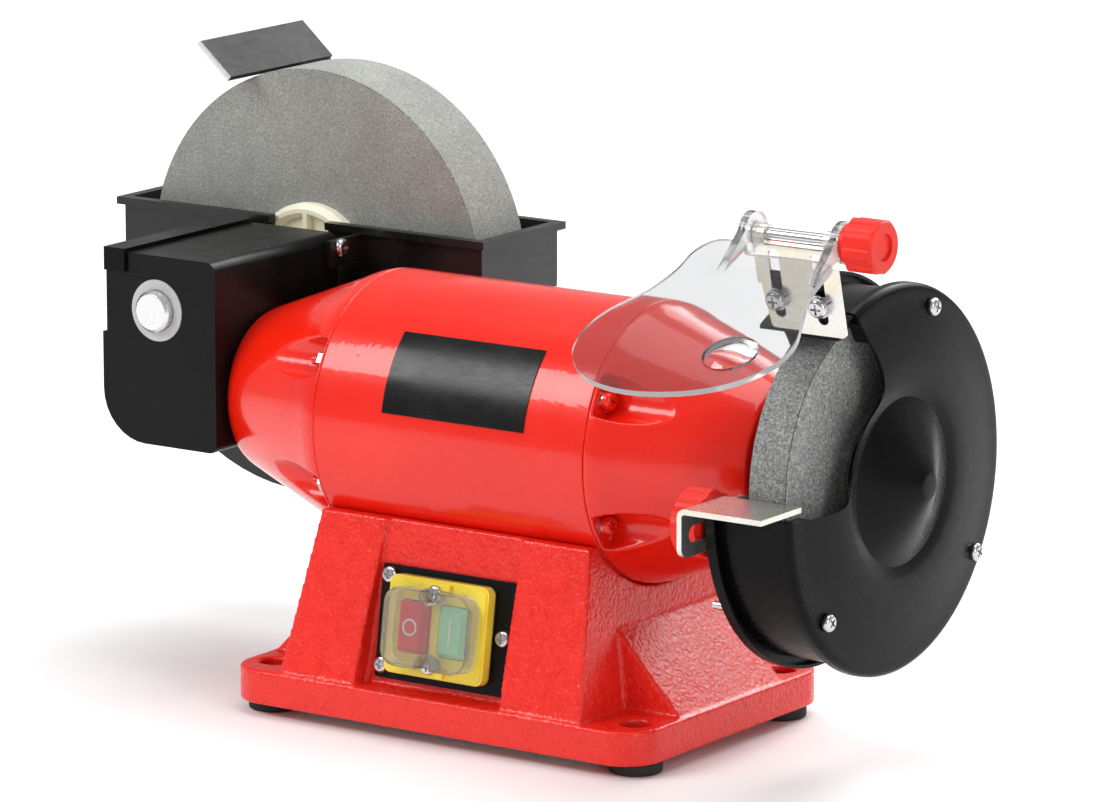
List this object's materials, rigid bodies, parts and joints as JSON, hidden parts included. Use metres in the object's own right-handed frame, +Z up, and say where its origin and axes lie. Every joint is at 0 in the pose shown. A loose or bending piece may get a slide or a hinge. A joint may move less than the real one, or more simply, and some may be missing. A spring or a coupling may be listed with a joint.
{
  "type": "bench grinder",
  "caption": "Wet and dry bench grinder: fast guarded dry wheel on the motor shaft, slow wet stone in a water tank driven through a worm gear, on a cast base.",
  "frame": {"origin": "the middle of the four bench bolts, on the bench surface under the rubber feet", "axes": "+X along the motor shaft towards the dry wheel, +Z up, -Y towards the person at the switch"},
  "size_m": [0.5266, 0.3262, 0.2919],
  "materials": {
    "hammered_red": "hammered gloss paint on a casting",
    "red_paint": "gloss paint",
    "foot_rubber": "matt",
    "gasket_rubber": "matt",
    "zinc_sheet": "bright zinc plate with a faint yellow passivation",
    "dark_sheet": "oiled steel sheet with bright cut edges",
    "shield_plastic": "clear moulded plastic with a faint grey tint",
    "screw_zinc": "bright zinc plate",
    "black_plastic": "fine grained",
    "tank_plastic": "moulded, half gloss",
    "white_plastic": "moulded",
    "yellow_plastic": "moulded",
    "red_plastic": "moulded, half gloss",
    "green_plastic": "moulded",
    "clear_plastic": "clear moulded plastic",
    "label_black": "plain printed film",
    "lamination_steel": "stacked sheets",
    "winding_copper": "varnished copper wire",
    "bearing_steel": "ground",
    "shaft_steel": "turned",
    "spring_steel": "oiled",
    "black_sheet": "satin black powder coat",
    "bronze": "machined bronze",
    "bush_plastic": "moulded",
    "cream_plastic": "moulded nylon",
    "wet_abrasive": "fine bonded abrasive, speckled grey",
    "dry_abrasive": "coarse bonded abrasive, speckled grey"
  },
  "bodies": {
    "machine": {"base_casting": "hammered_red", "rubber_feet": "foot_rubber", "bottom_cover": "zinc_sheet", "bottom_cover_screws": "screw_zinc", "cord_gland": "black_plastic", "capacitor": "white_plastic", "terminal_block": "white_plastic", "switch_plate": "black_plastic", "switch_plate_screws": "screw_zinc", "switch_gasket": "gasket_rubber", "switch_box": "yellow_plastic", "switch_cover": "clear_plastic", "switch_cover_screws": "screw_zinc", "motor_barrel": "red_paint", "label_plate": "label_black", "end_cap_left": "red_paint", "end_cap_right": "red_paint", "tie_bolts": "red_paint", "tie_bolt_washers": "screw_zinc", "tie_bolt_nuts": "screw_zinc", "stator_core": "lamination_steel", "stator_winding": "winding_copper", "bearing_outer_races": "bearing_steel", "gear_housing": "black_plastic", "gear_housing_cover": "black_plastic", "housing_strip": "black_sheet", "shaft_seal": "gasket_rubber", "worm_end_bush": "bronze", "axle_bushes": "bush_plastic", "water_tank": "tank_plastic", "tank_screws": "screw_zinc", "guard_body": "black_sheet", "guard_cover": "black_sheet", "guard_screws": "screw_zinc", "arrestor_screws": "screw_zinc"},
    "rotor": {"motor_shaft": "shaft_steel", "rotor_core": "lamination_steel", "bearing_inner_races": "bearing_steel", "bearing_balls": "bearing_steel", "worm": "shaft_steel", "dry_wheel": "dry_abrasive", "dry_wheel_flanges": "screw_zinc", "dry_wheel_nut": "screw_zinc"},
    "wet_wheel": {"wet_axle": "shaft_steel", "worm_wheel": "bronze", "axle_circlips": "spring_steel", "wet_stone": "wet_abrasive", "wet_flange_front": "cream_plastic", "wet_flange_rear": "screw_zinc", "wet_nut": "screw_zinc"},
    "stop_key": {"stop_button": "red_plastic"},
    "start_key": {"start_button": "green_plastic"},
    "arrestor": {"spark_arrestor": "zinc_sheet", "shield_rod": "screw_zinc"},
    "shield": {"eye_shield": "shield_plastic"},
    "shield_clamp": {"shield_knob": "red_plastic"},
    "dry_rest": {"dry_tool_rest": "zinc_sheet"},
    "dry_rest_clamp": {"dry_rest_knob": "red_plastic"},
    "wet_rest": {"wet_tool_rest": "dark_sheet"},
    "wet_rest_clamp": {"wet_rest_knob": "red_plastic"}
  },
  "joints": [
    {"name": "motor_spin", "type": "hinge", "parent": "machine", "child": "rotor", "pos_m": [0, 0, 0.139], "axis": [1, 0, 0], "continuous": true},
    {"name": "wet_stone_spin", "type": "hinge", "parent": "machine", "child": "wet_wheel", "pos_m": [-0.183, 0, 0.18], "axis": [0, 1, 0], "continuous": true},
    {"name": "stop_press", "type": "slide", "parent": "machine", "child": "stop_key", "axis": [0, 0.9882, -0.1532], "range_m": [0, 0.003], "stiffness_N_per_m": 400},
    {"name": "start_press", "type": "slide", "parent": "machine", "child": "start_key", "axis": [0, 0.9882, -0.1532], "range_m": [0, 0.003], "stiffness_N_per_m": 400},
    {"name": "arrestor_height", "type": "slide", "parent": "machine", "child": "arrestor", "axis": [0, 0.2504, -0.9681], "range_m": [-0.004, 0.007]},
    {"name": "shield_tilt", "type": "hinge", "parent": "arrestor", "child": "shield", "pos_m": [0.186, -0.05751, 0.256], "axis": [-1, 0, 0], "range_deg": [-15, 95]},
    {"name": "shield_clamp_turn", "type": "hinge", "parent": "arrestor", "child": "shield_clamp", "pos_m": [0.225, -0.05751, 0.256], "axis": [1, 0, 0], "range_deg": [-180, 180]},
    {"name": "dry_rest_reach", "type": "slide", "parent": "machine", "child": "dry_rest", "axis": [0, 1, 0], "range_m": [-0.012, 0.0025]},
    {"name": "dry_rest_clamp_turn", "type": "hinge", "parent": "machine", "child": "dry_rest_clamp", "pos_m": [0.15, -0.082, 0.1265], "axis": [-1, 0, 0], "range_deg": [-180, 180]},
    {"name": "wet_rest_height", "type": "slide", "parent": "machine", "child": "wet_rest", "axis": [0, 0, 1], "range_m": [0, 0.01]},
    {"name": "wet_rest_clamp_turn", "type": "hinge", "parent": "machine", "child": "wet_rest_clamp", "pos_m": [-0.224, 0.15, 0.176], "axis": [0, 1, 0], "range_deg": [-180, 180]}
  ],
  "couplings": [
    {"joint": "wet_stone_spin", "follows": "motor_spin", "ratio": 0.045455}
  ]
}
